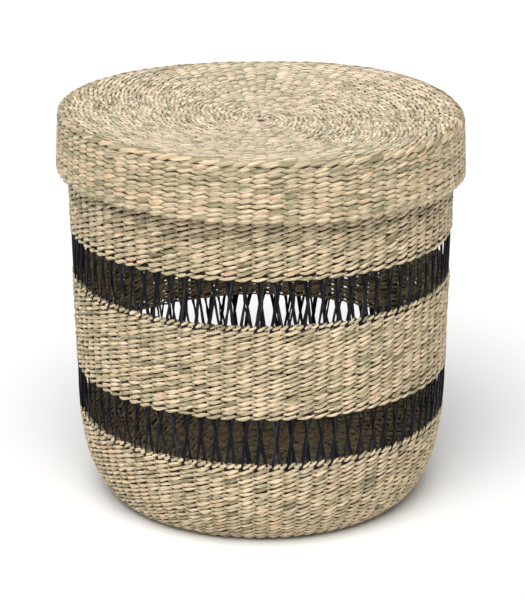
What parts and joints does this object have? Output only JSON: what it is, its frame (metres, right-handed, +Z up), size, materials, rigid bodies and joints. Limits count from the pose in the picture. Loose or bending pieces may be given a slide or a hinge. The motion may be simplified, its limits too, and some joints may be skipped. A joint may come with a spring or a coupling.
{
  "type": "laundry basket",
  "caption": "Round lidded laundry basket of twined seagrass with a rounded foot, two open bands of crossed dark strands and a lift-off lid with a deep skirt",
  "frame": {"origin": "centre of the flat base, on the surface that the basket stands on", "axes": "+Z up along the basket's axis, -Y towards the front, +X to the right seen from the front"},
  "size_m": [0.3999, 0.4, 0.3924],
  "materials": {
    "seagrass": "dry twined seagrass, straw beige with green-grey and peach stitches",
    "lid_seagrass": "dry twined seagrass, a little paler than the wall",
    "dark_strands": "dyed flat seagrass strands, near black with a faint cool sheen",
    "dark_stakes": "dyed seagrass stakes held in the weave",
    "lid_stakes": "undyed brown seagrass stakes held in the lid's weave"
  },
  "bodies": {
    "basket": {"base_centre_knot": "seagrass", "base_weave": "seagrass", "centre_stakes": "dark_stakes", "first_added_stakes": "dark_stakes", "second_added_stakes": "dark_stakes", "foot_weave": "seagrass", "lower_weave_band": "seagrass", "row_under_lower_open_band": "seagrass", "lower_open_band_outer_strands": "dark_strands", "lower_open_band_inner_strands": "dark_strands", "row_over_lower_open_band": "seagrass", "middle_stakes": "dark_stakes", "middle_weave_band": "seagrass", "row_under_upper_open_band": "seagrass", "upper_open_band_outer_strands": "dark_strands", "upper_open_band_inner_strands": "dark_strands", "row_over_upper_open_band": "seagrass", "upper_stakes": "dark_stakes", "upper_weave_band": "seagrass", "rim_border": "seagrass"},
    "lid": {"lid_centre_knot": "lid_seagrass", "lid_top_weave": "lid_seagrass", "lid_edge_row": "lid_seagrass", "lid_skirt_weave": "lid_seagrass", "lid_skirt_border": "lid_seagrass", "lid_centre_stakes": "lid_stakes", "lid_first_added_stakes": "lid_stakes", "lid_second_added_stakes": "lid_stakes"}
  },
  "joints": [
    {"name": "lid_lift", "type": "slide", "parent": "basket", "child": "lid", "axis": [0, 0, 1], "range_m": [0, 0.3]}
  ]
}
